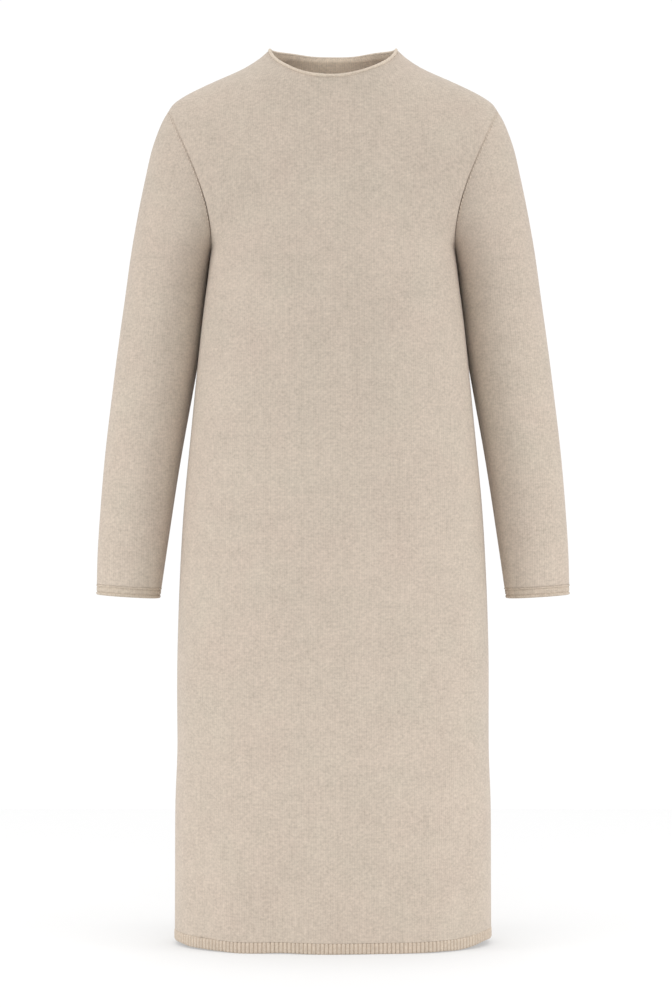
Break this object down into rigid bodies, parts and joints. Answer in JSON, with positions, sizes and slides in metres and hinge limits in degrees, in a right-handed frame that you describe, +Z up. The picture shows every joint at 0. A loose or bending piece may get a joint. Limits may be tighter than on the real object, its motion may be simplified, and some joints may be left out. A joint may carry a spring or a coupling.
{
  "type": "sweater dress",
  "caption": "Long-sleeved midi sweater dress in soft felted wool, with a short funnel collar, set-in sleeves, narrow cuffs and a ribbed hem, filled out as worn.",
  "frame": {"origin": "midway between the two shoulder seams, at the height of the points where the collar leaves the shoulders, where the wearer's shoulders hold the dress", "axes": "+Z is up, the front of the dress faces -Y, and +X is the wearer's left"},
  "size_m": [0.6, 0.2384, 1.1339],
  "materials": {
    "wool_knit": "fine felted stocking stitch in an oatmeal melange, brushed to a soft nap",
    "wool_rib": "one-by-one rib in the same melange wool",
    "wool_edge": "plain knitted band and rolled edge in the same melange wool"
  },
  "bodies": {
    "root": {"front_panel": "wool_knit", "back_panel": "wool_knit", "sleeve_left": "wool_knit", "sleeve_right": "wool_knit", "hem_rib_front": "wool_rib", "hem_rib_back": "wool_rib", "cuff_left": "wool_edge", "cuff_right": "wool_edge", "neck_roll": "wool_edge"}
  },
  "joints": []
}
